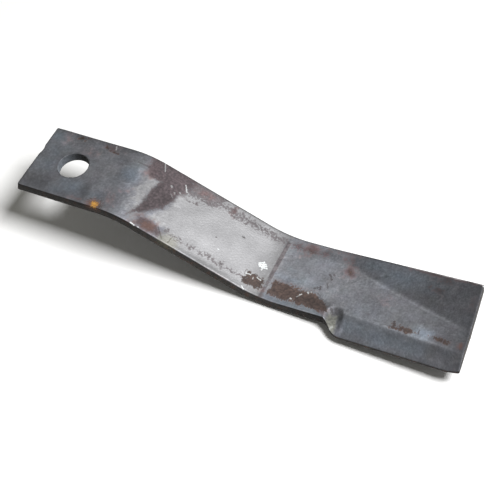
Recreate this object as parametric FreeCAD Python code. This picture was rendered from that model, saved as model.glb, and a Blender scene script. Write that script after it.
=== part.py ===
import FreeCAD, Part
import math
import os

# Rotary cutter blade, forged and bent from one length of flat spring steel bar.
# Millimetres and degrees. The origin is on the bolt hole's axis at the top seat face,
# +Z points up out of the hole, +X runs out to the cutting tip and the cutting edge is at -Y.

# The bar that the blade is made from
bar_width = 101.6
bar_thickness = 12.7
bar_edge_round = 1.5

# The mount end, with the hole for the blade bolt
hole_diameter = 39.5
hole_to_mount_end = 52.75
mount_flat_length = 111.7
mount_corner_radius = 2.5
shear_lean = 3.5
shear_nick_depth = 1.4
shear_nick_span = 15.0
shear_nick_offset = 11.0

# The two bends that drop the cutting tip below the mount
drop_bend_angle = 24.55
drop_bend_inside_radius = 107.0
slope_length = 148.4
level_bend_angle = 27.19
level_bend_inside_radius = 117.3

# The tip, measured from the end of the second bend
tip_length = 229.2
tip_end_skew = 4.4
worn_corner_length = 15.0
worn_corner_depth = 2.4

# The trailing edge is pressed up into a lift wing behind a curved crease
wing_start = 33.0
wing_rise = 9.6
crease_half_width = 5.0
crease_knee_distance = 62.0
crease_knee_offset = 31.0
crease_middle_distance = 105.0
crease_middle_offset = 17.5
crease_tip_offset = -14.5

# The cutting edge is forged out in front of the bar and bevelled from above
shoulder_start = 50.0
shoulder_length = 38.0
edge_reach = 15.8
edge_reach_at_tip = 16.6
bevel_width = 31.5
bevel_width_at_tip = 22.5
lip_thickness = 4.3
lip_thickness_at_tip = 2.6

# The round nose of the forging die leaves a hollow where the bevel starts
hollow_radius = 14.0
hollow_distance = 70.5
hollow_inset = 24.5
hollow_skew = 15.0
hollow_depth = 5.0
hollow_lip_thickness = 3.8

# Values that follow from these, and how far the cutting shapes reach past the blade
half_width = bar_width / 2
depth_allowance = 5.0
bevel_allowance = 1.0
# the tip is made this much too long, then cut off along its skewed end
end_allowance = (half_width + edge_reach) * math.tan(math.radians(tip_end_skew)) + 1.0
# the crease leaves the back edge here, just inside the bar's rounded corner
crease_first_offset = half_width - bar_edge_round - 1.2 * crease_half_width
# the pressed rear part of the tip meets its flat front part here
wing_split = crease_tip_offset - 2 * crease_half_width


def vector(x, y, z):
    return FreeCAD.Vector(x, y, z)


def line(start, end):
    return Part.LineSegment(start, end).toShape()


def arc(start, middle, end):
    return Part.Arc(start, middle, end).toShape()


def soft_corner(start, corner, end):
    curve = Part.BezierCurve()
    curve.setPoles([start, corner, end])
    return curve.toShape()


def prism(edges, low, high):
    """Solid over a plan outline drawn at height 0, from low to high."""
    solid = Part.Face(Part.Wire(edges)).extrude(vector(0, 0, high - low))
    solid.translate(vector(0, 0, low))
    return solid


def bar_section():
    """Rounded section of the bar in the YZ plane, with its top face at height 0."""
    r = bar_edge_round
    k = r * (1 - math.sqrt(0.5))
    side = half_width
    low = -bar_thickness
    edges = [
        line(vector(0, -side + r, low), vector(0, side - r, low)),
        arc(vector(0, side - r, low), vector(0, side - k, low + k), vector(0, side, low + r)),
        line(vector(0, side, low + r), vector(0, side, -r)),
        arc(vector(0, side, -r), vector(0, side - k, -k), vector(0, side - r, 0)),
        line(vector(0, side - r, 0), vector(0, -side + r, 0)),
        arc(vector(0, -side + r, 0), vector(0, -side + k, -k), vector(0, -side, -r)),
        line(vector(0, -side, -r), vector(0, -side, low + r)),
        arc(vector(0, -side, low + r), vector(0, -side + k, low + k), vector(0, -side + r, low)),
    ]
    return Part.Face(Part.Wire(edges))


def straight(place, length):
    """A straight length of bar from place on, and the place at its end."""
    solid = bar_section().extrude(vector(length, 0, 0))
    solid.Placement = place
    step = FreeCAD.Placement(vector(length, 0, 0), FreeCAD.Rotation())
    return solid, place.multiply(step)


def bend(place, angle, axis_height):
    """A bend of the bar about a line across it, down for a positive angle."""
    centre = vector(0, 0, axis_height)
    solid = bar_section().revolve(centre, vector(0, math.copysign(1, angle), 0), abs(angle))
    solid.Placement = place
    turn = FreeCAD.Placement(vector(0, 0, 0), FreeCAD.Rotation(vector(0, 1, 0), angle), centre)
    return solid, place.multiply(turn)


def mount_end():
    """Flat mount end with its bolt hole and its sheared end, which leans and has a nick."""
    start = -hole_to_mount_end
    spare = shear_lean + depth_allowance
    first = FreeCAD.Placement(vector(start - spare, 0, 0), FreeCAD.Rotation())
    solid, end_place = straight(first, mount_flat_length + spare)

    # plan of what the shear takes off, drawn on the top face and swept down along its lean
    r = mount_corner_radius
    k = r * (1 - math.sqrt(0.5))
    outer = half_width + depth_allowance
    inner = half_width - r
    outside = start - 2 * spare
    nick_low = shear_nick_offset - shear_nick_span / 2
    nick_high = shear_nick_offset + shear_nick_span / 2
    outline = Part.Face(Part.Wire([
        line(vector(outside, -outer, 0), vector(start + r, -outer, 0)),
        line(vector(start + r, -outer, 0), vector(start + r, -half_width, 0)),
        arc(vector(start + r, -half_width, 0), vector(start + k, -half_width + k, 0),
            vector(start, -inner, 0)),
        line(vector(start, -inner, 0), vector(start, nick_low, 0)),
        arc(vector(start, nick_low, 0), vector(start + shear_nick_depth, shear_nick_offset, 0),
            vector(start, nick_high, 0)),
        line(vector(start, nick_high, 0), vector(start, inner, 0)),
        arc(vector(start, inner, 0), vector(start + k, half_width - k, 0),
            vector(start + r, half_width, 0)),
        line(vector(start + r, half_width, 0), vector(start + r, outer, 0)),
        line(vector(start + r, outer, 0), vector(outside, outer, 0)),
        line(vector(outside, outer, 0), vector(outside, -outer, 0)),
    ]))
    reach = (bar_thickness + 2 * depth_allowance) / bar_thickness
    waste = outline.extrude(vector(-shear_lean * reach, 0, -bar_thickness * reach))
    waste.translate(vector(shear_lean, 0, bar_thickness).multiply(depth_allowance / bar_thickness))

    hole = Part.makeCylinder(hole_diameter / 2, bar_thickness + 2 * depth_allowance,
                             vector(0, 0, -bar_thickness - depth_allowance))
    return solid.cut(waste).cut(hole), end_place


def wing_section(distance, crease, rise):
    """Section of the tip's rear part: flat as far as the crease, then the raised wing."""
    r = bar_edge_round
    k = r * (1 - math.sqrt(0.5))
    t = bar_thickness
    c = crease_half_width
    wing_width = half_width - crease
    angle = math.asin(rise / wing_width)

    def flat(y, z):
        return vector(distance, y, z)

    def wing(along, depth):
        y = crease + along * math.cos(angle) + depth * math.sin(angle)
        return vector(distance, y, along * math.sin(angle) - depth * math.cos(angle))

    below = t * math.tan(angle / 2)
    edges = [
        line(flat(wing_split, 0), flat(crease - c, 0)),
        soft_corner(flat(crease - c, 0), flat(crease, 0), wing(c, 0)),
        line(wing(c, 0), wing(wing_width - r, 0)),
        arc(wing(wing_width - r, 0), wing(wing_width - k, k), wing(wing_width, r)),
        line(wing(wing_width, r), wing(wing_width, t - r)),
        arc(wing(wing_width, t - r), wing(wing_width - k, t - k), wing(wing_width - r, t)),
        line(wing(wing_width - r, t), wing(c - below, t)),
        soft_corner(wing(c - below, t), flat(crease + below, -t), flat(crease + below - c, -t)),
        line(flat(crease + below - c, -t), flat(wing_split, -t)),
        line(flat(wing_split, -t), flat(wing_split, 0)),
    ]
    return Part.Wire(edges)


def tip_rear():
    """Rear part of the tip, lofted from the bar's own section out to the raised wing."""
    finish = tip_length + end_allowance

    def rise_at(distance):
        return wing_rise * (distance - wing_start) / (tip_length - wing_start)

    slope = (crease_tip_offset - crease_middle_offset) / (tip_length - crease_middle_distance)
    crease_last_offset = crease_tip_offset + slope * end_allowance
    stations = [
        (wing_start, crease_first_offset),
        (crease_knee_distance, crease_knee_offset),
        (crease_middle_distance, crease_middle_offset),
        (tip_length, crease_tip_offset),
        (finish, crease_last_offset),
    ]
    sections = []
    for distance, crease in stations:
        sections.append(wing_section(distance, crease, rise_at(distance)))
    return Part.makeLoft(sections, True, False)


def tip_front():
    """Flat front part of the tip, with the cutting edge forged out past the bar."""
    t = bar_thickness
    block = bar_section().extrude(vector(tip_length + end_allowance - wing_start, 0, 0))
    block.translate(vector(wing_start, 0, 0))
    keep = Part.makeBox(tip_length + end_allowance, half_width + wing_split + edge_reach, t,
                        vector(wing_start, -half_width - edge_reach, -t))
    block = block.common(keep)

    # plan outline of the forged edge: two equal arcs for the shoulder, then the cutting edge
    first = -half_width + bar_edge_round
    offset = edge_reach + bar_edge_round
    radius = (shoulder_length ** 2 + offset ** 2) / (4 * offset)
    half_turn = math.atan(offset / shoulder_length)
    across = radius * math.sin(half_turn)
    along = radius * (1 - math.cos(half_turn))
    middle = shoulder_start + shoulder_length / 2
    end = shoulder_start + shoulder_length
    outer = -half_width - edge_reach
    outer_at_tip = -half_width - edge_reach_at_tip
    corner = tip_length - outer_at_tip * math.tan(math.radians(tip_end_skew))
    finish = corner + worn_corner_length
    forged = prism([
        line(vector(shoulder_start, wing_split, 0), vector(shoulder_start, first, 0)),
        arc(vector(shoulder_start, first, 0), vector(shoulder_start + across, first - along, 0),
            vector(middle, first - offset / 2, 0)),
        arc(vector(middle, first - offset / 2, 0), vector(end - across, outer + along, 0),
            vector(end, outer, 0)),
        line(vector(end, outer, 0), vector(corner - worn_corner_length, outer_at_tip, 0)),
        line(vector(corner - worn_corner_length, outer_at_tip, 0),
             vector(finish, outer_at_tip + 2 * worn_corner_depth, 0)),
        line(vector(finish, outer_at_tip + 2 * worn_corner_depth, 0), vector(finish, wing_split, 0)),
        line(vector(finish, wing_split, 0), vector(shoulder_start, wing_split, 0)),
    ], -t, 0)
    return block.fuse(forged)


def bevel_tools():
    """What the forging die takes off above the bevel: a wedge, and its nose's hollow."""
    t = bar_thickness
    high = depth_allowance

    def bevel_section(distance, reach, width, lip):
        edge = -half_width - reach
        outside = edge - bevel_allowance
        drop = (t - lip) * (width + bevel_allowance) / width
        points = [
            vector(distance, edge + width, 0),
            vector(distance, edge + width, high),
            vector(distance, outside, high),
            vector(distance, outside, -drop),
        ]
        return Part.makePolygon(points + points[:1])

    near = bevel_section(shoulder_start, edge_reach, bevel_width, lip_thickness)
    far = bevel_section(tip_length + end_allowance, edge_reach_at_tip, bevel_width_at_tip,
                        lip_thickness_at_tip)
    wedge = Part.makeLoft([near, far], True, True)

    # the hollow is a round-nosed rod that runs out over the cutting edge
    nose = vector(hollow_distance, -half_width - edge_reach + hollow_inset, hollow_radius - hollow_depth)
    run = hollow_inset / math.cos(math.radians(hollow_skew))
    fall = t - hollow_lip_thickness - hollow_depth
    along = vector(math.tan(math.radians(hollow_skew)) * hollow_inset, -hollow_inset, -fall)
    length = 2 * run
    half_plane = Part.Face(Part.Wire([
        arc(vector(-hollow_radius, 0, 0),
            vector(-hollow_radius * math.sqrt(0.5), hollow_radius * math.sqrt(0.5), 0),
            vector(0, hollow_radius, 0)),
        line(vector(0, hollow_radius, 0), vector(length, hollow_radius, 0)),
        line(vector(length, hollow_radius, 0), vector(length, 0, 0)),
        line(vector(length, 0, 0), vector(-hollow_radius, 0, 0)),
    ]))
    rod = half_plane.revolve(vector(0, 0, 0), vector(1, 0, 0), 360)
    rod.Placement = FreeCAD.Placement(nose, FreeCAD.Rotation(vector(1, 0, 0), along))

    # the wedge starts over the middle of the hollow
    room = 2 * tip_length
    outward = Part.makeBox(room, 2 * room, 2 * room, vector(0, -room, -room))
    outward.rotate(vector(0, 0, 0), vector(0, 0, 1), hollow_skew)
    outward.translate(vector(nose.x, nose.y, 0))
    return [wedge.common(outward), rod]


def tip(place):
    """The whole tip: wing, forged edge and bevel, cut off square apart from a small skew."""
    solid = tip_rear().fuse(tip_front())
    for tool in bevel_tools():
        solid = solid.cut(tool)
    room = bar_width + edge_reach
    beyond = Part.makeBox(room, 2 * room, 2 * room, vector(0, -room, -room))
    beyond.rotate(vector(0, 0, 0), vector(0, 0, 1), tip_end_skew)
    beyond.translate(vector(tip_length, 0, 0))
    solid = solid.cut(beyond)
    solid.Placement = place
    return solid


def blade():
    """The bar from the mount end through its two bends to the finished tip."""
    mount, place = mount_end()
    drop, place = bend(place, drop_bend_angle, -bar_thickness - drop_bend_inside_radius)
    slope, place = straight(place, slope_length)
    level, place = bend(place, -level_bend_angle, level_bend_inside_radius)
    lead, tip_place = straight(place, wing_start)
    solid = mount.multiFuse([drop, slope, level, lead, tip(place)])
    return solid.removeSplitter()


os.makedirs("parts", exist_ok=True)
shape = blade()
shape.exportStep("parts/blade.step")
box = shape.BoundBox
print("solids", len(shape.Solids), "valid", shape.isValid(), "volume", round(shape.Volume))
print("box", [round(v, 2) for v in (box.XMin, box.YMin, box.ZMin, box.XMax, box.YMax, box.ZMax)])
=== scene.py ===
import math

import bpy
import numpy as np
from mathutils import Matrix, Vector, noise


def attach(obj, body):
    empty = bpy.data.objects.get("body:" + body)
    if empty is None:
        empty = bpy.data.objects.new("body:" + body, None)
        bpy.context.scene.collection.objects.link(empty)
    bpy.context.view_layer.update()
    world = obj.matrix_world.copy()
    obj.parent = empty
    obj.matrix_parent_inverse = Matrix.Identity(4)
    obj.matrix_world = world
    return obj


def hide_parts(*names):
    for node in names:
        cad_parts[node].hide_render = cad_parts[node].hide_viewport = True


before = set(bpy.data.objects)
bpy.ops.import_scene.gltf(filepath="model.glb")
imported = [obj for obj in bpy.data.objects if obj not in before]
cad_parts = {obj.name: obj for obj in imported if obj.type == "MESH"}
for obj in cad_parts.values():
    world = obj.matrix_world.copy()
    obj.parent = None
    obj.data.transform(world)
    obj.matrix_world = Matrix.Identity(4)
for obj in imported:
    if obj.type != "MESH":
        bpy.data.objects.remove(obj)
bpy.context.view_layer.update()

scene = bpy.context.scene

# The bar and its two bends
# One length of 4 x 1/2 in hot-rolled spring steel flat, sheared to length and bent hot over two
# round dies. It is laid out unrolled here, in millimetres: u runs along its top face from the
# sheared end to the tip, y across it, and n up out of it.
half_width = 50.8
thickness = 12.7
edge_round = 1.5
hole_to_mount_end = 52.75
mount_flat = 111.7
drop_angle = math.radians(24.55)
drop_inside_radius = 107.0
slope_length = 148.4
level_angle = math.radians(27.19)
level_inside_radius = 117.3
# the top face is outside the first bend and inside the second
drop_radius = drop_inside_radius + thickness
level_radius = level_inside_radius
drop_end = mount_flat + drop_radius * drop_angle
level_start = drop_end + slope_length
tip_start = level_start + level_radius * level_angle


def heading(u):
    """How steeply the bar runs down at u, in radians."""
    down = np.clip((u - mount_flat) / drop_radius, 0, drop_angle)
    return down - np.clip((u - level_start) / level_radius, 0, level_angle)


def place(u, y, n):
    """Points of the bent bar in metres, from places on the unrolled one."""
    down = np.clip((u - mount_flat) / drop_radius, 0, drop_angle)
    slope = np.clip(u - drop_end, 0, slope_length)
    back = drop_angle - np.clip((u - level_start) / level_radius, 0, level_angle)
    beyond = np.clip(u - tip_start, 0, None)
    pitch = drop_angle - level_angle
    x = np.minimum(u, mount_flat) - hole_to_mount_end + drop_radius * np.sin(down)
    x = x + slope * math.cos(drop_angle) + beyond * math.cos(pitch)
    x = x + level_radius * (math.sin(drop_angle) - np.sin(back))
    z = -drop_radius * (1 - np.cos(down)) - slope * math.sin(drop_angle) - beyond * math.sin(pitch)
    z = z - level_radius * (np.cos(back) - math.cos(drop_angle))
    turn = heading(u)
    return np.stack([x + n * np.sin(turn), y + 0 * u, z + n * np.cos(turn)], -1) / 1000


# The forged tip
# The last 230 mm is reheated. The back edge is pressed up into a lift wing behind a soft crease, and
# the cutting edge is forged out past the bar over an S-shaped shoulder and bevelled by a round die.

# distance along the tip is s, which starts where the second bend ends
tip_length = 229.2
end_skew = math.tan(math.radians(4.4))
front_corner_overhang = 6.0
worn_corner_depth = 2.4
worn_corner_run = 15.0
wing_start = 33.0
wing_rise = 9.6
# the skewed end reaches past the tip's middle length, and the wing rises on there
wing_overrun = 1.1
crease_half = 5.0
crease_s = [33.0, 62.0, 105.0, 229.2]
crease_y = [43.3, 31.0, 17.5, -14.5]
shoulder_start = 50.0
shoulder_length = 38.0
shoulder_skew = math.radians(15)
reach = 15.8
reach_at_tip = 16.6
bevel_width = 31.5
bevel_width_at_tip = 22.5
lip = 4.3
lip_at_tip = 2.6
ridge_softness = 0.9
hollow_radius = 14.0
hollow_distance = 70.5
hollow_inset = 24.5
hollow_depth = 5.0
hollow_lip = 3.8
hollow_fall = thickness - hollow_lip - hollow_depth
hollow_softness = 2.2
hollow_at = Vector((hollow_distance, hollow_inset - half_width - reach, hollow_radius - hollow_depth))
hollow_run = Vector((hollow_inset * math.tan(shoulder_skew), -hollow_inset, -hollow_fall)).normalized()
# a height over the whole blade, for places that a die doesn't reach
clear_of_die = 40.0


def smooth_line(at, xs, ys):
    """A soft curve through a few points, level with its ends past them."""
    xs = np.array(xs)
    ys = np.array(ys)
    slopes = np.gradient(ys, xs)
    at = np.clip(at, xs[0], xs[-1])
    k = np.clip(np.searchsorted(xs, at) - 1, 0, len(xs) - 2)
    width = xs[k + 1] - xs[k]
    t = (at - xs[k]) / width
    low = (1 + 2 * t) * (1 - t) ** 2 * ys[k] + t * (1 - t) ** 2 * width * slopes[k]
    return low + t * t * (3 - 2 * t) * ys[k + 1] + t * t * (t - 1) * width * slopes[k + 1]


def step(at, start, end):
    """Rises smoothly from 0 at start to 1 at end."""
    t = np.clip((at - start) / (end - start), 0, 1)
    return t * t * (3 - 2 * t)


def fade(at, start, end):
    """Falls smoothly from 1 at start to 0 at end."""
    return 1 - step(at, start, end)


def forged_share(s):
    """How far along the forged edge s is, from 0 at the shoulder to 1 at the tip's front corner."""
    return np.clip((s - shoulder_start) / (tip_length + front_corner_overhang - shoulder_start), 0, 1)


def front_edge(s):
    """Where the front side of the blade runs: the bar's side, the shoulder, then the cutting edge."""
    drop = reach + edge_round
    radius = (shoulder_length ** 2 + drop ** 2) / (4 * drop)
    middle = shoulder_start + shoulder_length / 2
    end = shoulder_start + shoulder_length
    first = -half_width + edge_round - radius
    first = first + np.sqrt(np.clip(radius ** 2 - (s - shoulder_start) ** 2, 0, None))
    last = -half_width - reach + radius
    last = last - np.sqrt(np.clip(radius ** 2 - (end - s) ** 2, 0, None))
    edge = -half_width - reach + (reach - reach_at_tip) * np.clip((s - end) / (tip_length - end), 0, 1)
    shape = np.where(s < middle, first, np.where(s < end, last, edge))
    shape = np.where(s < shoulder_start, -half_width, np.minimum(shape, -half_width))
    corner = tip_length + (half_width + reach_at_tip) * end_skew
    return shape + worn_corner_depth * np.clip((s - corner + worn_corner_run) / worn_corner_run, 0, 1)


def ridge_line(s):
    """Where the bevel meets the flat of the tip."""
    edge = -half_width - reach + (reach - reach_at_tip) * forged_share(s)
    return edge + bevel_width + (bevel_width_at_tip - bevel_width) * forged_share(s)


def wing(s):
    """The crease's place, the wing's tilt and its back edge."""
    crease = smooth_line(s, crease_s, crease_y)
    rise = wing_rise * np.clip((s - wing_start) / (tip_length - wing_start), 0, wing_overrun)
    angle = np.arcsin(rise / (half_width - crease))
    return crease, angle, crease + (half_width - crease) * np.cos(angle)


def past_crease(y, crease):
    """Distance behind the crease, taken up softly."""
    past = np.clip(y - crease + crease_half, 0, None)
    return np.where(past < 2 * crease_half, past * past / (4 * crease_half), past - crease_half)


def soft_least(a, b, room):
    """The lower of two heights, with the corner between them rounded over this much room."""
    h = np.clip(1 - np.abs(a - b) / room, 0, None)
    return np.minimum(a, b) - h * h * room / 4


def hollow_height(s, y):
    """Underside of the die's round nose and of the rod that runs out behind it."""
    px, py = s - hollow_at.x, y - hollow_at.y
    r2 = hollow_radius ** 2
    ball = hollow_at.z - np.sqrt(np.clip(r2 - px * px - py * py, 0, None))
    ball = np.where(px * px + py * py < r2, ball, clear_of_die)
    dx, dy, dz = hollow_run
    flat = px * dx + py * dy
    a = 1 - dz * dz
    b = -flat * dz
    c = px * px + py * py - flat * flat - r2
    root = b * b - a * c
    z = (-b - np.sqrt(np.clip(root, 0, None))) / a
    rod = np.where(root > 0, hollow_at.z + z, clear_of_die)
    return np.where(flat + z * dz > 0, rod, ball)


def top_height(s, y):
    """Height of the top face over the flat of the tip."""
    crease, angle, _ = wing(s)
    flat = past_crease(y, crease) * np.tan(angle)
    share = forged_share(s)
    width = bevel_width + (bevel_width_at_tip - bevel_width) * share
    fall = thickness - lip + (lip - lip_at_tip) * share
    bevel = -fall * (ridge_line(s) - y) / width
    past_nose = (s - hollow_at.x) * math.cos(shoulder_skew) + (y - hollow_at.y) * math.sin(shoulder_skew)
    bevel = np.where(past_nose > 0, bevel, clear_of_die)
    height = soft_least(flat, bevel, ridge_softness)
    return soft_least(height, hollow_height(s, y), hollow_softness)


def low_height(s, y):
    """Height of the underside, level under the bar and lifted under the wing."""
    crease, angle, _ = wing(s)
    below = thickness * np.tan(angle / 2)
    return -thickness + past_crease(y, crease + below) * np.tan(angle)


# The mesh follows the piece: rows across the blade, every 1.5 mm and closer over the shoulder and
# the hollow, and columns along it that keep to the bevel's ridge.
# A rounding is a quarter circle in three steps of 30 degrees, here as shares of its radius.
corner_steps = np.array([0.0, 0.134, 0.5, 1.0])
end_round = 0.9
cutting_edge_round = 0.9
sheared_rows_end = 16.0
hole_rows_end = 89.5
shoulder_rows_start = tip_start + 46.0
shoulder_rows_end = tip_start + 100.0
tip_rows_end = tip_start + tip_length - end_round


def spaced(start, end, gap):
    """Even steps of about this gap, without the first place."""
    return np.linspace(start, end, int(round((end - start) / gap)) + 1)[1:]


rows = np.concatenate([
    corner_steps * end_round,
    spaced(end_round, sheared_rows_end, 1.5),
    spaced(sheared_rows_end, hole_rows_end, 1.5),
    spaced(hole_rows_end, shoulder_rows_start, 1.55),
    spaced(shoulder_rows_start, shoulder_rows_end, 1.0),
    spaced(shoulder_rows_end, tip_rows_end, 1.55),
    tip_start + tip_length - end_round * corner_steps[2::-1],
])
front_count = 20
back_count = 58
# the front side's edges get finer over this stretch of the tip
fine_edge_from = 60.0
fine_edge_by = 72.0
# the rows turn from square to the skewed end over this one
turning_from = tip_start + 130.0
turned_by = tip_start + tip_length - 4.0
# the sheared end leans and has a nick, and its shape fades into the bar
shear_lean = 3.5
shear_fade = 12.0
nick_depth = 1.4
nick_half = 7.5
nick_y = 11.0
mount_corner = 2.5
tip_corner = 1.6
tip_corner_run = 9.0
tip_corner_back = 49.5
tip_corner_front = 62.9


def front_rounding(s):
    """Radius of the front side's edges, which is finer along the cutting edge."""
    return edge_round - (edge_round - cutting_edge_round) * step(s, fine_edge_from, fine_edge_by)


def shear_inset(y, top):
    """How far the sheared end lies in from square: its corners, its nick and the lean of the cut."""
    corner = np.clip(np.abs(y) - half_width + mount_corner, 0, mount_corner)
    inset = mount_corner - np.sqrt(mount_corner ** 2 - corner ** 2)
    inset = inset + nick_depth * np.clip(1 - ((y - nick_y) / nick_half) ** 2, 0, None)
    return inset - (0 if top else shear_lean)


def corner_inset(y):
    """How far the tip's two rounded corners lie in from its end."""
    corner = np.clip(np.maximum(y - tip_corner_back, -y - tip_corner_front), 0, tip_corner)
    return tip_corner - np.sqrt(tip_corner ** 2 - corner ** 2)


def edge_drop(s):
    """How far each row and column of the edges' rounding lies below its face."""
    across = np.zeros_like(s)
    along = np.zeros_like(s)
    for k, part in enumerate(corner_steps):
        across[:, [k, -1 - k]] = 1 - part
        along[[k, -1 - k]] = 1 - part
    radius = np.full_like(s, edge_round)
    front_columns = slice(0, len(corner_steps))
    radius[:, front_columns] = front_rounding(s)[:, front_columns]
    radius = np.where(along > across, end_round, radius)
    part = np.clip(np.sqrt(across ** 2 + along ** 2), 0, 1)
    return radius * (1 - np.sqrt(1 - part ** 2))


def grid(top):
    """Points (u, y, n) of the whole top face or underside, out to the middle of its rounded edges."""
    u = np.repeat(rows[:, None], 2 * len(corner_steps) + front_count + back_count - 1, 1)
    s = u - tip_start
    # the sides depend on s, and s on y where the rows turn, so both are worked out three times over
    for _ in range(3):
        _, angle, back = wing(s)
        if not top:
            back = back + thickness * np.sin(angle)
        front = front_edge(s)
        ridge = ridge_line(s)
        round_front = front_rounding(s)
        cells = []
        for k, part in enumerate(corner_steps):
            cells.append(front[:, k] + part * round_front[:, k])
        for k in range(1, front_count + 1):
            j = len(cells)
            inner = front[:, j] + round_front[:, j]
            cells.append(inner + (ridge[:, j] - inner) * k / front_count)
        for k in range(1, back_count + 1):
            j = len(cells)
            cells.append(ridge[:, j] + (back[:, j] - edge_round - ridge[:, j]) * k / back_count)
        for part in corner_steps[2::-1]:
            j = len(cells)
            cells.append(back[:, j] - part * edge_round)
        y = np.stack(cells, 1)
        s = rows[:, None] - tip_start - y * end_skew * step(u, turning_from, turned_by)
    u = s + tip_start + shear_inset(y, top) * fade(rows[:, None], 0, shear_fade)
    u = u - corner_inset(y) * step(s, tip_length - tip_corner_run, tip_length)
    n = top_height(s, y) if top else low_height(s, y)
    n = np.where(s < wing_start, 0.0 if top else -thickness, n)
    n = n - edge_drop(s) if top else n + edge_drop(s)
    return u, y, n


top_u, top_y, top_n = grid(True)
low_u, low_y, low_n = grid(False)
row_count, column_count = top_u.shape

# Bolt hole
# Punched hot through the bar and left as punched, 39.5 mm across, with rims that are a little worn.
# It is where the bolt's shoulder turns, so its wall is the smoothest part of the blade.
hole_radius = 19.75
hole_round = 0.7
patch_half = 26.0
middle_column = column_count // 2
patch_rows = [i for i in range(row_count) if abs(top_u[i, middle_column] - hole_to_mount_end) < patch_half]
i0, i1 = patch_rows[0], patch_rows[-1]
patch_columns = [j for j in range(column_count) if abs(top_y[i0, j]) < patch_half]
j0, j1 = patch_columns[0], patch_columns[-1]
inside = np.zeros((row_count, column_count), dtype=bool)
inside[i0 + 1:i1, j0 + 1:j1] = True

# every vertex keeps its unrolled place (u, y, n), which the finish is laid out in
points = []
index = []
for us, ys, ns in (top_u, top_y, top_n), (low_u, low_y, low_n):
    ids = np.full((row_count, column_count), -1)
    ids[~inside] = np.arange((~inside).sum()) + len(points)
    points.extend(zip(us[~inside], ys[~inside], ns[~inside]))
    index.append(ids)
top_index, low_index = index
faces = []
for i in range(row_count - 1):
    for j in range(column_count - 1):
        if i0 <= i < i1 and j0 <= j < j1:
            continue
        around = [(i, j), (i + 1, j), (i + 1, j + 1), (i, j + 1)]
        faces.append([top_index[p] for p in around])
        faces.append([low_index[p] for p in (around[0], around[3], around[2], around[1])])


def join(loops):
    """Quads between closed loops of vertices."""
    for upper, lower in zip(loops, loops[1:]):
        for k in range(len(upper)):
            after = (k + 1) % len(upper)
            faces.append((upper[k], upper[after], lower[after], lower[k]))


def add_points(new_points):
    """The numbers of a loop of new vertices."""
    first = len(points)
    points.extend(new_points)
    return list(range(first, len(points)))


def square_loop(a0, a1, b0, b1):
    """Grid places round a rectangle of rows a0 to a1 and columns b0 to b1."""
    loop = [(a0, b) for b in range(b0, b1)]
    loop += [(a, b1) for a in range(a0, a1)]
    loop += [(a1, b) for b in range(b1, b0, -1)]
    return loop + [(a, b0) for a in range(a1, a0, -1)]


# the side of the bar and the cut ends are one band round the outline
outline = square_loop(0, row_count - 1, 0, column_count - 1)
upper = [top_index[p] for p in outline]
lower = [low_index[p] for p in outline]
wall_steps = 5
loops = [upper]
for k in range(1, wall_steps):
    share = k / wall_steps
    loop = []
    for a, b in zip(upper, lower):
        loop.append(tuple((1 - share) * np.array(points[a]) + share * np.array(points[b])))
    loops.append(add_points(loop))
loops.append(lower)
join(loops)

# rings from the grid's square in to the hole, over its rim and down its wall
square = square_loop(i0, i1, j0, j1)
square_top = [top_index[p] for p in square]
square_low = [low_index[p] for p in square]
angles = []
for p in square_top:
    angles.append(math.atan2(points[p][1], points[p][0] - hole_to_mount_end))


def ring(radius, n):
    """Places round the hole, one for each of the square's vertices."""
    return [(hole_to_mount_end + radius * math.cos(a), radius * math.sin(a), n) for a in angles]


def between(share, n):
    """A ring part of the way from the grid's square to the rim."""
    loop = []
    for p, inner in zip(square_top, ring(hole_radius + hole_round, n)):
        outer = points[p]
        loop.append((outer[0] + (inner[0] - outer[0]) * share, outer[1] + (inner[1] - outer[1]) * share, n))
    return add_points(loop)


def rim(turn, face, inwards):
    """A ring part of the way round the worn rim of a face, where inwards is down or up from it."""
    radius = hole_radius + hole_round * (1 - math.sin(turn * math.pi / 2))
    return add_points(ring(radius, face + inwards * hole_round * (1 - math.cos(turn * math.pi / 2))))


face_shares = (0.3, 0.6, 0.85, 1.0)
rim_turns = (0.33, 0.67, 1.0)
loops = [square_top]
loops += [between(share, 0.0) for share in face_shares]
loops += [rim(turn, 0.0, -1) for turn in rim_turns]
for share in (0.2, 0.4, 0.6, 0.8):
    loops.append(add_points(ring(hole_radius, -hole_round - share * (thickness - 2 * hole_round))))
loops += [rim(turn, -thickness, 1) for turn in rim_turns[::-1]]
loops += [between(share, -thickness) for share in face_shares[::-1]]
loops.append(square_low)
join([loop[::-1] for loop in loops])

points = np.array(points)
located = place(*points.T)
mesh = bpy.data.meshes.new("blade")
mesh.from_pydata(located.tolist(), [], faces)
mesh.update()
blade = bpy.data.objects.new("rotary_cutter_blade", mesh)
scene.collection.objects.link(blade)

# Surface form
# Rolling, forging and bending leave broad waves, a skin of small pits and dents, and edges that are
# no longer quite straight. The cutting edge and the hollow keep the marks of the hammer die.
u, y, n = points.T
s = u - tip_start
normals = np.array([v.normal for v in mesh.vertices])
turn = heading(u)
facing = normals[:, 0] * np.sin(turn) + normals[:, 2] * np.cos(turn)
top = step(facing, 0.35, 0.8)
under = step(-facing, 0.35, 0.8)
side = 1 - top - under
from_hole = np.hypot(u - hole_to_mount_end, y)
rim_margin = 2.0
in_bore = from_hole < hole_radius + rim_margin
# noise is taken from a place of its own for each seed
seed_shift = (7.3, 3.1, -5.7)


def cloud(size, seed, along=1.0):
    """Noise over the blade from -1 to 1, with blots of this size in millimetres."""
    places = (u / (size * along), y / size, n / size)
    at = np.stack([part + seed * shift for part, shift in zip(places, seed_shift)], 1)
    return np.array([noise.noise(Vector(p)) for p in at])


def near(*distances):
    """One at a place, falling softly away from it. Each distance is a share of its own reach."""
    return np.exp(-sum(distance ** 2 for distance in distances))


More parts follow.
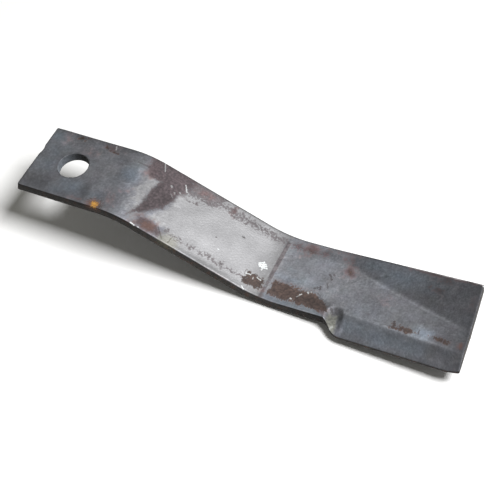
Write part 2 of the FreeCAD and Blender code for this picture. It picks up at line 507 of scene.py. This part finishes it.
# each height here is in millimetres, times noise of a size in millimetres
waves = 0.28 * cloud(70, 1) + 0.12 * cloud(28, 2)
even_part = step(u, 190, 210) * fade(u, 325, 345)
skin = (0.05 * cloud(9, 3) + 0.04 * cloud(4.5, 4)) * (1 - 0.75 * even_part)
pits = -0.14 * step(cloud(6.5, 5, 1.4), 0.28, 0.6) * (1 - 0.85 * even_part)
rough_side = 0.16 * cloud(7, 6, 2.5) + 0.10 * cloud(3.2, 7)
in_hollow = near((s - 76) / 12, (y + 56) / 12) * top
hammer = (0.38 * cloud(6, 8) + 0.26 * cloud(3.4, 12)) * in_hollow
on_bevel = step(ridge_line(s) - y, 0, 3) * step(s, 78, 92) * top
hammer = hammer + 0.12 * cloud(11, 9, 1.8) * on_bevel
push = (waves + skin + pits) * (1 - side) + rough_side * side + hammer
push = np.where(in_bore, 0.04 * cloud(3, 10), push)
located = located + normals * push[:, None] / 1000
mesh.vertices.foreach_set("co", located.ravel())
mesh.polygons.foreach_set("use_smooth", [True] * len(mesh.polygons))
mesh.update()

# Marks left on the steel
# Water has lain across both bends and left thin brown rust, the scale has flaked off in dark patches
# in front, and the slope between the bends is smooth and even. Handling left scuffs and pale flecks.
# A mask gives the share of a place that its mark covers, and the material's noise picks the spots.
# Some highlights and shade are painted in among these marks, and each is named where it is.

# outlines wander a little off the places given here
mark_u = u + 3.0 * cloud(13, 21) + 2.0 * cloud(5, 22)
mark_y = y + 2.6 * cloud(13, 23) + 1.8 * cloud(5, 24)


def spot(u0, y0, ru, ry, lean=0.0):
    """One at the middle of an oval mark, a half at its rim."""
    across = mark_u - u0 - lean * (mark_y - y0)
    return np.clip(1 - np.hypot(across / ru, (mark_y - y0) / ry) / 2, 0, 1) * top


def patch(u0, u1, y0, y1, soft):
    """A half along a box's rim, rising and falling over a soft border."""
    inside_by = np.minimum(np.minimum(mark_u - u0, u1 - mark_u), np.minimum(mark_y - y0, y1 - mark_y))
    return np.clip(0.5 + inside_by / (2 * soft), 0, 1) * top


def band(edge_y, left_u, right_u, soft):
    """A patch whose left and right borders are drawn through a few places, from front to back."""
    inside_by = np.minimum(mark_u - np.interp(mark_y, edge_y, left_u),
                           np.interp(mark_y, edge_y, right_u) - mark_u)
    inside_by = np.minimum(inside_by, np.minimum(mark_y - edge_y[0], edge_y[-1] - mark_y))
    return np.clip(0.5 + inside_by / (2 * soft), 0, 1) * top


def most(*marks):
    """The strongest of several masks."""
    return np.maximum.reduce(marks)


worn = most(
    patch(190, 344, -30, 31, 10),
    patch(204, 342, -54, 53, 10),
    0.7 * band([-46, -36, -20, -5, 10, 28], [156, 150, 145, 142, 144, 148],
               [166, 166, 166, 167, 168, 170], 10),
    0.9 * band([-33, -20, -5, 5], [172, 180, 190, 196], [206, 206, 206, 206], 6),
    0.6 * under * near((u - 348) / 16),
)
under_rust = under * np.clip(0.36 + 0.22 * cloud(45, 41) + 0.12 * cloud(14, 42), 0, 0.8)
rust = most(
    0.9 * band([-46, -28, -20, -10, 0, 10, 28], [148, 155, 157, 158, 160, 163, 165],
               [157, 168, 175, 184, 190, 193, 197], 6) * (1 - 0.4 * fade(y, -40, -24)),
    0.82 * band([20, 30, 40, 56], [150, 145, 141, 139], [199, 201, 205, 207], 6),
    0.75 * spot(357, 38, 8, 8),
    0.7 * spot(393, 38, 8, 7),
    0.6 * patch(400, 442, 41, 54, 6),
    0.6 * patch(412, 438, 29, 46, 7),
    0.6 * spot(207, 18, 5, 3),
    0.62 * spot(217, 22, 7, 3, 1.5),
    0.6 * spot(200, 24, 4, 5),
    0.74 * spot(549, 43, 14, 7),
    0.8 * spot(544, 28.5, 7, 4),
    0.65 * spot(532, 31.5, 4, 4),
    0.5 * spot(549, 20.5, 6, 5),
    0.8 * patch(512, 600, 48, 60, 2.5),
    0.52 * patch(162, 198, -49, -33, 5),
    0.65 * spot(588.5, 22.5, 6, 11),
    0.5 * spot(50, 49, 24, 3),
    0.85 * spot(431, 24.5, 5, 6, 0.4),
    0.95 * spot(435, 20.5, 5, 4.5, -0.5),
    under_rust,
)
deep = most(
    0.85 * band([-42, -36, -24], [314, 312, 313], [339, 340, 340], 4.0),
    0.97 * band([-43, -38, -27, -20], [349, 347, 347, 349], [404, 403, 401, 400], 5.0),
    0.99 * band([-44, -41, -34, -26, -20], [388, 382, 380, 381, 386], [424, 428, 425, 414, 406], 4.5),
    0.9 * spot(39, 44, 6, 3, 0.7),
    0.85 * spot(48.5, 44, 2.4, 4.5, 0.3),
    0.8 * spot(80.5, 42.5, 3, 3.5, -0.5),
    0.85 * spot(92.5, 37.6, 8, 2.4),
    0.97 * spot(524, -35, 12, 4.0),
    0.9 * spot(509.5, -32, 3, 4.5),
    0.97 * spot(568, -35.5, 11, 3.6),
    0.6 * spot(110, -50.5, 3, 2),
    0.62 * spot(374, 34, 8, 3),
    0.66 * spot(433, 22.5, 4, 5),
    0.9 * spot(514, -36.6, 9, 2.2),
)
red = most(
    0.8 * band([-52, -40, -31], [158, 162, 168], [196, 197, 190], 9),
    0.6 * spot(24, 38, 7, 10),
    0.5 * spot(66, 27, 18, 8),
    0.6 * spot(82, -46, 14, 4),
    0.62 * spot(88, 42, 14, 8),
    0.95 * spot(107, -45, 8, 7),
    0.6 * spot(123, -32, 7, 14, -0.4),
    0.55 * spot(136, -13, 7, 7, 1.0),
    0.95 * spot(151, 29, 10, 10),
    0.7 * spot(150, 43, 9, 8),
    0.65 * spot(221, 42, 18, 8),
    0.6 * spot(264, 40, 6, 10),
    0.95 * spot(374, 40, 8, 9),
    0.95 * spot(432, 25, 8, 11),
    0.6 * spot(343, -40, 5, 6),
    0.5 * spot(398, -27, 16, 6),
    0.85 * spot(422, -42, 7, 5),
    0.6 * spot(592, -36, 6, 6),
    0.6 * spot(570, -36, 12, 5),
    0.45 * spot(488, -6, 14, 12),
    0.85 * patch(500, 600, 46.5, 60, 3),
    0.9 * spot(593, -36, 5, 6),
    0.5 * under_rust,
)
# a straight brown line across the second bend
bend_line = np.clip(1.5 - np.abs(u - 343.0) / 2.6, 0, 0.9) * fade(mark_y, 38, 42) * top
bend_line = bend_line * (1 - 0.3 * fade(y, -22, -14))
film = most(
    0.7 * band([26, 31, 42, 56], [196, 196, 196, 196], [236, 244, 252, 254], 8),
    0.72 * spot(230, 32, 15, 4),
    0.54 * patch(236, 344, 30, 48, 7),
    0.75 * spot(264, 41, 6, 9),
    0.78 * spot(267, 34, 7, 4),
    0.78 * spot(284, 35, 5, 4),
    0.64 * spot(292, 40, 14, 6),
    0.62 * spot(316, 40, 12, 5),
    0.66 * spot(276, 43, 5, 4),
    0.8 * spot(355, 39, 7, 7),
    0.7 * spot(366, 27, 7, 6, 0.6),
    0.46 * patch(194, 318, -41, -31, 4),
    0.72 * spot(283, -36, 6, 6),
    0.64 * spot(265, -34, 9, 4),
    0.64 * spot(299, -37.5, 7, 3),
    0.64 * spot(238, -37, 9, 4),
    0.58 * spot(224, -33, 9, 2.5),
    0.58 * spot(222, -39, 9, 2.5),
    0.65 * spot(203, -34, 6, 5),
    0.62 * spot(254, -39, 6, 3),
    bend_line,
    0.58 * patch(348, 402, 31, 50, 6),
    0.55 * patch(350, 408, -22, -15, 4),
    0.55 * patch(350, 400, -45, -40, 3),
    0.3 * patch(404, 456, -36, 26, 12),
    0.7 * spot(88, 43, 12, 6),
    0.55 * spot(90, -47, 22, 3),
    0.35 * patch(586, 602, -70, 56, 7),
    0.9 * under_rust,
)
blue = most(
    0.8 * spot(10, 38, 9, 9),
    0.55 * patch(2, 34, -24, 30, 14),
    0.8 * spot(70, -32, 18, 13),
    0.65 * spot(52, -42, 16, 8),
    0.97 * spot(127.5, 12, 11, 13),
    0.6 * spot(105, -34, 12, 7),
    0.32 * patch(346, 420, -22, 36, 16),
    0.6 * spot(372, -11, 36, 7),
    0.6 * patch(346, 425, -52, -42, 5),
    0.7 * spot(500, 32, 40, 16),
    0.7 * spot(460, 38, 24, 12),
    0.9 * spot(549, -34, 13, 9),
    0.6 * patch(446, 560, -68, -40, 10),
    0.45 * spot(470, -22, 28, 18),
)
mottle = most(
    0.56 * patch(90, 120, -32, 26, 10),
    0.5 * patch(160, 204, 12, 50, 8),
    0.42 * patch(158, 176, -34, 10, 6),
    0.5 * patch(204, 245, 30, 50, 6),
    0.56 * patch(406, 462, -38, 28, 14),
    0.6 * patch(314, 338, -33, -26, 3),
    0.36 * top * (1 - 0.45 * even_part),
)


def drawn_through(at, *places):
    """A value drawn through places, each given with its own value."""
    return np.interp(at, *zip(*places))


# how light or dark the steel is in broad areas, against its mean, along the bar, the wing and the bevel;
# the wing is drawn darker as painted shade
tone = drawn_through(
    u, (0, 0.95), (4, 1.27), (25, 1.3), (60, 1.2), (100, 1.25), (118, 1.12), (130, 1.05), (146, 1.08),
    (165, 0.85), (195, 0.98), (230, 1.05), (318, 1.07), (334, 1.04), (342, 0.98), (347, 1.36),
    (368, 1.83), (400, 1.84), (430, 1.24), (465, 1.21), (510, 1.08), (565, 0.83), (587, 0.62),
    (598, 0.42),
)
# painted shade: the tilted wing is drawn darker than the flat
wing_shade_tone = drawn_through(u, (400, 1.0), (430, 0.9), (465, 0.77), (530, 0.56), (575, 0.46), (600, 0.4))
bevel_tone = drawn_through(
    u, (440, 0.88), (470, 0.75), (520, 0.66), (570, 0.55), (590, 0.47), (600, 0.42),
)
crease, _, back = wing(s)
on_wing = step(y - crease, -1, 5) * step(s, 45, 75)
on_bevel = step(ridge_line(s) - y, -0.5, 2.0) * step(s, 74, 84)
tone = tone + (wing_shade_tone - tone) * on_wing
tone = tone + (bevel_tone - tone) * on_bevel

# painted highlights along the crease and the bevel's ridge, where their rounding catches the light
crease_highlight = near((y - crease + 0.9) / 1.2) * step(s, 68, 100) * fade(u, 574, 586)
ridge_highlight = near((y - ridge_line(s) - 1.6) / 1.8) * step(u, 484, 510) * fade(u, 556, 580)
tone = tone * (1 + 0.24 * crease_highlight + 0.25 * ridge_highlight)

# lighter and darker spots: u, y, the reach of each, and the change in tone; a few of them are painted light
# and shade, as noted below
for u0, y0, ru, ry, change in (
    (168, 10, 3.5, 13, -0.2), (172, -8, 5, 5, -0.1), (183, 7, 5, 7, -0.14), (176, 15, 3, 4, 0.13),
    (190, 17, 6, 4, 0.18), (160, -18, 4, 8, -0.12), (88, 43, 12, 5, -0.15), (38, 45, 9, 4, -0.12),
    (544, 28.5, 6, 3, -0.28), (550, 42, 11, 5, -0.17), (531, 31.5, 4, 3, -0.2), (455, 43, 3, 2, -0.22),
    (452, 37, 3, 2, -0.2), (462, 41, 3, 2.5, -0.2), (464, 24, 9, 2.5, -0.22), (478, 28, 2, 3, -0.25),
    (449, 49, 6, 2, -0.15), (490, 37, 3, 6, -0.1), (588.5, 23, 3, 8, -0.12), (435, 43, 6, 5, -0.15),
    (40, 44, 7, 3.5, -0.4), (93, 37.6, 8, 2.5, -0.4), (81, 42.5, 3, 3.5, -0.35),
    (22, -37, 17, 10, -0.38), (88, -33, 7, 14, -0.4), (136, 27, 5, 4, 0.45), (60, -47, 70, 5, -0.15),
    (55, 48, 60, 4, -0.2), (98, 46, 30, 6, -0.1), (250, -22, 60, 8, 0.10), (290, 24, 50, 7, 0.08),
    # (549, -34) at the end of the next line is a painted highlight on the bevel
    (270, 49.5, 75, 2.5, -0.15), (260, -47, 60, 4, -0.42), (549, -34, 13, 9, 0.8),
    (183, 3, 9, 12, -0.2), (166, -18, 8, 12, -0.15), (400, 40, 30, 12, -0.46), (112, 38, 14, 8, 0.1),
    (220, 40, 22, 9, 0.12), (500, 32, 26, 12, 0.14), (372, 38, 10, 10, -0.27), (433, -48, 9, 13, -0.36),
    # (446, -43) on the next line and (448, -44) further down are painted shade in the hollow, and (449.5,
    # -61) beside it paints light on the hollow's wall
    (446, -43, 6, 6, -0.12), (380, -47, 45, 4, -0.2), (470, -24, 26, 14, 0.1), (112, 32, 4, 4, -0.3),
    (404, -34, 22, 9, -0.54), (372, -31, 22, 9, -0.2), (179, -40, 18, 7, -0.22), (326, -33, 14, 9, 0.3),
    (433, -37, 9, 5, -0.4), (290, 41, 50, 6, -0.1), (448, -44, 5, 6, -0.2), (449.5, -61, 3, 9, 0.8),
    (84, 0, 14, 25, 0.13), (557, 35, 20, 12, -0.1), (124, -31, 8, 12, -0.05),
    (565, -48.5, 28, 5, -0.15), (529, -60, 40, 4, 0.12), (508, -47, 7, 3, -0.15),
    (530, -46, 3, 2, 0.25), (440, 38, 14, 8, -0.15), (175, 38, 18, 10, 0.15),
):
    tone = tone * (1 + change * near((mark_u - u0) / ru, (mark_y - y0) / ry))

# a pale ring of scale round the blue spot on the first bend
ring_at = np.hypot((u - 127.5) / 11.5, (y - 11.5) / 14)
tone = tone * (1 + 0.3 * near((ring_at - 1.06) / 0.1) * step(u - y * 0.6, 116, 128))

# clouds, die marks along the bevel, and darker steel along the wing's back edge and the hole's rim
tone = tone * (1 + 0.12 * cloud(17, 31) + 0.12 * cloud(5.5, 32) * (1 - 0.75 * even_part))
tone = tone * (1 + 0.1 * cloud(4.5, 33, 7) * on_bevel)
tone = tone * (1 - 0.3 * near((y - back + 0.8) / 2.0))
tone = tone * (1 - 0.4 * near((from_hole - hole_radius - 0.35) / 1.1))

# the sides along the blade, and the hole's wall by its bearing in degrees, with painted shade on the wall
# at the back towards the tip and a painted light band on the wall at the front towards the mount end
side_tone = drawn_through(
    u, (0, 0.31), (150, 0.38), (200, 0.68), (330, 0.74), (360, 0.6), (372, 0.56), (385, 0.4),
    (398, 0.29), (425, 0.22), (440, 0.33), (455, 0.75),
)
bore_bearing = np.degrees(np.arctan2(y, u - hole_to_mount_end)) % 360
bore_light_and_shade = drawn_through(
    bore_bearing, (0, 0.15), (30, 0.02), (80, 0.04), (110, 0.22), (140, 0.6), (180, 0.9), (200, 1.0),
    (216, 1.6), (240, 0.8), (360, 0.15),
)
under_tone = 0.9
tone = tone * top + side_tone * side + under_tone * under
tone = np.where(in_bore, tone * top + bore_light_and_shade * side + under_tone * under, tone)

# the ramp down into the hollow is rough from the die and stays matt
ramp = fade(hollow_height(s, y), -1.5, 0.5) * step(s, 60, 66)
ramp = ramp * fade(mark_y, -44, -36) * fade(mark_u, 440, 447) * top

# rims drawn bright along the slope in front and along the wing's back edge: partly rubbed bare, partly a
# painted highlight where the rounded edge catches the light
front_rim_wear_and_highlight = near((y + 50.0) / 0.9) * (0.3 * step(u, 158, 185) + 0.35 * step(u, 240, 300))
front_rim_wear_and_highlight = front_rim_wear_and_highlight * fade(u, 315, 335)
back_rim_wear_and_highlight = 0.55 * near((y - back + 1.5) / 1.1) * step(s, 80, 130)
rim_wear_and_highlight = most(front_rim_wear_and_highlight, back_rim_wear_and_highlight) * (facing > 0.3)


def keep(name, kind, *values):
    """Values at every vertex, for the material to read."""
    layer = mesh.attributes.new(name, kind, "POINT")
    field = "vector" if kind == "FLOAT_VECTOR" else "color"
    layer.data.foreach_set(field, np.stack(values, 1).astype(np.float32).ravel())


# the tone is kept by halves, and doubled again in the material
keep("blade_mm", "FLOAT_VECTOR", u, y, n - top_height(s, y))
keep("marks", "FLOAT_COLOR", worn, rust, deep, tone / 2)
keep("tints", "FLOAT_COLOR", red, mottle, side * (1 - rim_wear_and_highlight), in_bore * side)
keep("hues", "FLOAT_COLOR", film, blue, rim_wear_and_highlight, 0.9 * ramp)

# Hot-rolled spring steel
# Blue-grey mill scale, a thin oxide skin from rolling and forging, half matt and cloudy, that shines
# softly where it faces the light. Damp has left brown rust, which is duller and takes the shine away.
material = bpy.data.materials.new("hot_rolled_spring_steel")
material.use_nodes = True
tree = material.node_tree
tree.nodes.clear()


def linear(text):
    """An sRGB hex colour as linear red, green, blue and alpha."""
    values = [int(text[k:k + 2], 16) / 255 for k in (1, 3, 5)]
    return [v / 12.92 if v <= 0.04045 else ((v + 0.055) / 1.055) ** 2.4 for v in values] + [1.0]


def add(kind, inputs, **settings):
    """A shader node with its settings and links. Inputs go by name, or in the order of those in use."""
    made = tree.nodes.new("ShaderNode" + kind)
    for name, value in settings.items():
        setattr(made, name, value)
    if isinstance(inputs, list):
        in_use = [k for k, socket in enumerate(made.inputs) if socket.enabled]
        inputs = dict(zip(in_use, inputs))
    for key, value in inputs.items():
        if isinstance(value, bpy.types.Node):
            value = next(socket for socket in value.outputs if socket.enabled)
        if isinstance(value, bpy.types.NodeSocket):
            tree.links.new(value, made.inputs[key])
        else:
            made.inputs[key].default_value = value
    return made


at = add("Attribute", {}, attribute_name="blade_mm").outputs["Vector"]
marks = add("Attribute", {}, attribute_name="marks")
tints = add("Attribute", {}, attribute_name="tints")
hues = add("Attribute", {}, attribute_name="hues")
worn_mask, rust_mask, deep_mask = add("SeparateColor", [marks]).outputs
red_mask, mottle_mask, side_mask = add("SeparateColor", [tints]).outputs
film_mask, blue_mask, rim_wear_and_highlight_mask = add("SeparateColor", [hues]).outputs
half_tone = marks.outputs["Alpha"]
bore_mask = tints.outputs["Alpha"]
ramp_mask = hues.outputs["Alpha"]


def grain(size, detail, along=1.0, roughness=0.55):
    """Noise from 0 to 1 with blots of this size in millimetres, drawn out along the blade."""
    drawn_at = add("Mapping", {"Vector": at, "Scale": (1 / along, 1.0, 1.0)})
    inputs = {"Vector": drawn_at, "Scale": 1 / size, "Detail": detail, "Roughness": roughness}
    return add("MapRange", [add("TexNoise", inputs), 0.28, 0.72], interpolation_type="SMOOTHSTEP")


def covered(mask, breaker, soft):
    """How far a mark covers a spot, when noise picks the spots in its share of the place."""
    swing = add("Math", [breaker, 0.5], operation="SUBTRACT")
    level = add("Math", [swing, 1 - 2 * soft, mask], operation="MULTIPLY_ADD")
    return add("MapRange", [level, 0.5 - soft, 0.5 + soft], interpolation_type="SMOOTHSTEP")


def two_tone(pattern, dark, light):
    """A finish that goes from one colour to another with a pattern."""
    return add("Mix", [pattern, linear(dark), linear(light)], data_type="RGBA")


def layer(below, share, above, strength=1.0):
    """A finish with another one laid over a share of it."""
    if strength < 1:
        share = add("Math", [share, strength], operation="MULTIPLY")
    return add("Mix", [share, below, above], data_type="RGBA")


def strongest(*shares):
    """The strongest of several marks."""
    share = shares[0]
    for other in shares[1:]:
        share = add("Math", [share, other], operation="MAXIMUM")
    return share


# Rust grains and pits are 0.1 to 0.5 mm, too fine to show, so the finest patterns are drawn coarser.
gravel = grain(1.5, 2.0, roughness=0.5)
fine = grain(2.4, 4.0, roughness=0.65)
freckles = grain(3.1, 2.0, roughness=0.5)
blots = grain(6.5, 4.0, roughness=0.6)
clouds = grain(26.0, 3.0, 1.5)
drawn = grain(3.0, 3.0, 7.0)
combed = grain(7.0, 2.0, 0.35)
specks = add("Mix", [0.45, freckles, blots])
mottled = add("Mix", [0.5, freckles, blots])
drawn_blots = add("Mix", [0.5, drawn, blots])

# mill scale: a cloudy mix of a warmer and a bluer grey with a faint cast, rubbed even on the slope
soft_clouds = add("Mix", [0.4, clouds, blots])
warm_scale = two_tone(soft_clouds, "#6b6b70", "#7c7d83")
blue_scale = two_tone(soft_clouds, "#6a7079", "#7a818b")
scale = layer(warm_scale, covered(blue_mask, clouds, 0.4), blue_scale)
cast_size = 14
cast_swing = (0.08, 0.06, 0.08)
cast_least = (0.952, 0.972, 0.96)
cast_at = add("Mapping", {"Vector": at, "Location": (31.0, 7.0, 3.0)})
cast = add("TexNoise", {"Vector": cast_at, "Scale": 1 / cast_size, "Detail": 3.0}).outputs["Color"]
cast = add("VectorMath", [cast, cast_swing, cast_least], operation="MULTIPLY_ADD")
scale = add("VectorMath", [scale, cast], operation="MULTIPLY")
even_pattern = add("Mix", [0.5, add("Mix", [0.6, drawn, fine]), clouds])
even_scale = two_tone(even_pattern, "#818183", "#8a8a8c")
colour = layer(scale, covered(worn_mask, blots, 0.3), even_scale)

# the rusts, from the thinnest film to the darkest crust, each mottled in itself, and a red stain
film_breaker = add("Mix", [0.25, add("Mix", [0.4, freckles, fine]), blots])
film_share = covered(film_mask, film_breaker, 0.15)
red_share = covered(red_mask, blots, 0.3)
rust_share = covered(rust_mask, specks, 0.24)
deep_share = covered(deep_mask, add("Mix", [0.5, freckles, combed]), 0.18)
colour = layer(colour, film_share, two_tone(mottled, "#403b3d", "#645e61"), 0.88)
colour = add("Mix", [red_share, colour, linear("#efd4d0")], data_type="RGBA", blend_type="MULTIPLY")
colour = layer(colour, rust_share, two_tone(mottled, "#2c2426", "#52474a"), 0.94)
colour = layer(colour, deep_share, two_tone(mottled, "#221815", "#43352f"), 0.96)
film_dullness = add("Math", [film_share, 0.6], operation="MULTIPLY")
red_dullness = add("Math", [red_share, 0.4], operation="MULTIPLY")

# light blots where the scale is mottled
lighter = add("Math", [covered(mottle_mask, freckles, 0.3), 0.32, 0.94], operation="MULTIPLY_ADD")
colour = add("VectorMath", [colour, lighter], operation="SCALE")

# the sides, the hole and the ramp into the hollow, then the broad lights and darks and the bright rims,
# partly rubbed and partly painted highlight
side_rust = add("MapRange", [blots, 0.6, 0.85, 0.0, 0.7], interpolation_type="SMOOTHSTEP")
side_scale = layer(two_tone(drawn_blots, "#262322", "#484542"), side_rust, linear("#4a362d"))
colour = layer(colour, side_mask, side_scale)
colour = layer(colour, bore_mask, two_tone(mottled, "#4e5359", "#747981"))
colour = layer(colour, ramp_mask, two_tone(specks, "#474843", "#7c7c73"))
full_tone = add("Math", [half_tone, 2.0], operation="MULTIPLY")
colour = add("VectorMath", [colour, full_tone], operation="SCALE")
colour = layer(colour, covered(rim_wear_and_highlight_mask, drawn, 0.3), linear("#9c9799"), 0.7)

# Strokes: scratches, scuffs, flecks and streaks, and one painted glint, each a thin mark with a frayed rim
frayed = add("Math", [gravel, 0.5], operation="SUBTRACT")


def stroke(u0, y0, u1, y1, width, strength):
    """A thin mark from one place to another, too thin for the mesh's own masks."""
    run = Vector((u1 - u0, y1 - y0, 0.0))
    off = add("VectorMath", [at, (u0, y0, 0.0)], operation="SUBTRACT")
    share = add("VectorMath", [off, tuple(run / run.length_squared)], operation="DOT_PRODUCT")
    foot = add("VectorMath", [tuple(run), add("Clamp", [share])], operation="SCALE")
    gap = add("VectorMath", [off, foot], operation="DISTANCE")
    gap = add("Math", [frayed, width, gap], operation="MULTIPLY_ADD")
    rim = [gap, width * 0.5, width * 1.3, strength, 0.0]
    return add("MapRange", rim, interpolation_type="SMOOTHSTEP")


# from u, y to u, y, then the width in millimetres and the strength
dark_marks = [
    (129, 34.5, 144, 34, 1.5, 0.6), (193, -35, 204, -47, 0.9, 0.55), (214, -40, 213, -47, 0.9, 0.5),
    (541, -30, 541.5, -36, 1.1, 0.8), (509, -28.5, 511.5, -34, 1.4, 0.8),
    (501, -36.5, 512, -36, 0.9, 0.6), (384, 5.5, 387, 3.8, 1.0, 0.6), (410, 10.8, 413, 8, 1.8, 0.85),
    (415, 12.5, 416.5, 11, 1.3, 0.75), (414, 6, 415.5, 4, 1.5, 0.85),
    (412.5, -3, 415.5, -8.5, 1.4, 0.75), (400, -15, 404, -12, 1.5, 0.8),
    (406.5, -9.5, 407.5, -14, 1.5, 0.85), (431, -35, 433, -38, 1.6, 0.5),
    (437, -33, 438, -36, 1.8, 0.5), (289, 14.2, 291, 14.4, 1.5, 0.7), (260, -5.5, 261, -6, 1.0, 0.55),
    (410, -25, 417, -27, 1.2, 0.7), (407, -20, 412, -23, 1.2, 0.7), (434, -41, 436, -40, 1.5, 0.45),
    (475, -28, 477, -29, 1.0, 0.5),
]
pale_marks_and_glint = [
    (322.4, -7, 327.8, -2.8, 1.1, 0.95), (323.4, -8.6, 330.6, -4.2, 1.2, 0.95),
    (325, -10.2, 332.4, -6.2, 1.1, 0.95), (327.6, -10.6, 334, -9, 1.0, 0.95),
    (328.5, -10, 329, -14, 0.8, 0.8), (327, -1.8, 328, -5, 0.9, 0.9), (158, 51, 164, 39, 0.75, 0.3),
    (195, 37, 200, 29.5, 0.8, 0.55), (198.5, 31.5, 200, 29.8, 1.0, 0.5),
    (180, 25.5, 181.5, 24.5, 1.1, 0.3), (185, 15, 189, 11.5, 0.8, 0.12),
    (188, 19, 188.6, 18.5, 1.1, 0.22), (193.4, 23.2, 194, 22.6, 1.1, 0.24),
    (270, -19, 270.4, -19.2, 0.9, 0.7), (162, -49.2, 167, -50.2, 0.9, 0.75),
    (172, -49.4, 173, -49.6, 0.8, 0.4), (317.5, -47.3, 321, -50, 0.8, 0.75),
    (314.5, -28.3, 320, -26.8, 0.9, 0.6), (329, -26.6, 334.5, -28, 0.8, 0.6),
    (324.5, -29, 325, -31, 0.8, 0.4), (90, 47.5, 92, 42, 0.9, 0.3),
    (387.5, -29, 388.7, -28.2, 1.2, 0.6), (388, -29.5, 385, -33.5, 0.8, 0.25),
    (378.5, -38, 379.6, -38.3, 1.1, 0.55), (395, -22.2, 396.2, -23.8, 1.0, 0.5),
    # the last mark on the next line, at the tip's back corner, is a painted glint
    (399, -21, 399.6, -21.6, 0.8, 0.4), (591.6, 47.6, 592.4, 47.1, 0.7, 0.8),
    (440, -56, 438, -60, 1.6, 0.3),
]
dark_share = strongest(*[stroke(*mark) for mark in dark_marks])
pale_and_glint_share = strongest(*[stroke(*mark) for mark in pale_marks_and_glint])
colour = layer(colour, dark_share, linear("#353132"))
colour = layer(colour, stroke(179, -42, 185, -40, 6, 0.42), linear("#5e4030"))
colour = layer(colour, stroke(592, -33, 594, -39, 2.0, 0.3), linear("#5e4030"))
colour = layer(colour, stroke(208, -46, 216, -45, 9, 0.2), linear("#8a8768"))
colour = layer(colour, stroke(107, -45.5, 112, -46.5, 8, 0.6), linear("#5f4236"))
fresh_rust = stroke(108.8, -46.3, 110.8, -46.8, 4.2, 0.9)
colour = layer(colour, fresh_rust, two_tone(freckles, "#8a5f26", "#bd8d38"))
colour = layer(colour, pale_and_glint_share, linear("#c3c7c8"))

# bare scale shines like dull steel, and rust, the hole and the ramp are matt
rusty = strongest(rust_share, deep_share, film_dullness, red_dullness, dark_share, fresh_rust)
die_dullness = add("Math", [strongest(bore_mask, ramp_mask), 0.85], operation="MULTIPLY")
matt = strongest(die_dullness, rusty)
metallic = add("Mix", [pale_and_glint_share, add("Mix", [matt, 0.95, 0.2]), 0.0])
roughness = add("Mix", [matt, 0.53, 0.75])
roughness = add("Math", [fine, 0.10, roughness], operation="MULTIPLY_ADD")
depth = add("Math", [ramp_mask, 2.0, 1.0], operation="MULTIPLY_ADD")
relief = add("Math", [add("Mix", [rusty, fine, specks]), depth], operation="MULTIPLY")
bump = add("Bump", {"Height": relief, "Strength": 0.3, "Distance": 0.00025})
shader = add("BsdfPrincipled", {
    "Base Color": colour,
    "Metallic": metallic,
    "Roughness": roughness,
    "Normal": bump,
})
add("OutputMaterial", {"Surface": shader})
mesh.materials.append(material)
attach(blade, "root")
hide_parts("blade")

# The floor
# A plain sheet of white paper, matt. The blade lies propped just over it, so in the blade's own frame
# the sheet is tilted by 2.35 degrees, and it is nearest under the second bend.
paper_half = 4.0
paper_mesh = bpy.data.meshes.new("floor")
corners = [(-1, -1), (1, -1), (1, 1), (-1, 1)]
paper_mesh.from_pydata([(x * paper_half, y * paper_half, 0) for x, y in corners], [], [(0, 1, 2, 3)])
paper = bpy.data.objects.new("paper_floor", paper_mesh)
paper.location = (0.287, 0, -0.0982)
paper.rotation_euler = (0, math.radians(2.35), 0)
scene.collection.objects.link(paper)
material = bpy.data.materials.new("matt_paper")
material.use_nodes = True
tree = material.node_tree
tree.nodes.clear()
shader = add("BsdfPrincipled", {"Base Color": linear("#dcdcdc"), "Roughness": 0.9})
add("OutputMaterial", {"Surface": shader})
paper_mesh.materials.append(material)

# Light
# One soft box beyond the tip's end, 58 degrees up over the floor, and a dim plain room around it. The
# room looks pale behind the floor, but gives little light, so the shadow under the blade is deep.
world = bpy.data.worlds.new("room")
world.use_nodes = True
tree = world.node_tree
tree.nodes.clear()
seen = add("LightPath", {}).outputs["Is Camera Ray"]
dim_room = add("Background", {"Color": linear("#fffdf2"), "Strength": 0.22})
pale_room = add("Background", {"Color": linear("#ffffff"), "Strength": 0.95})
add("OutputWorld", {"Surface": add("MixShader", [seen, dim_room, pale_room])})
scene.world = world
softbox_width = 1.3
softbox_distance = 3.4
towards_softbox = Vector((0.556, 0.043, 0.830))
lit_place = Vector((0.2, 0.0, -0.06))
softbox = bpy.data.lights.new("softbox", "AREA")
softbox.shape = "RECTANGLE"
softbox.size = softbox_width
softbox.size_y = softbox_width
softbox.energy = 217.0
softbox_object = bpy.data.objects.new("softbox", softbox)
softbox_object.location = lit_place + towards_softbox * softbox_distance
softbox_object.rotation_euler = towards_softbox.to_track_quat("Z", "Y").to_euler()
scene.collection.objects.link(softbox_object)
scene.view_settings.view_transform = "Standard"

# Camera
# The photograph's viewing angle in the blade's frame: in front and 32 degrees round towards the tip,
# 52 degrees up.
camera = bpy.data.cameras.new("camera")
camera.lens = 89.07
camera.sensor_width = 36.0
camera_object = bpy.data.objects.new("camera", camera)
camera_object.location = (0.74746, -0.79825, 1.13200)
camera_object.rotation_euler = [math.radians(angle) for angle in (37.9572, 5.7891, 25.1078)]
scene.collection.objects.link(camera_object)
scene.camera = camera_object
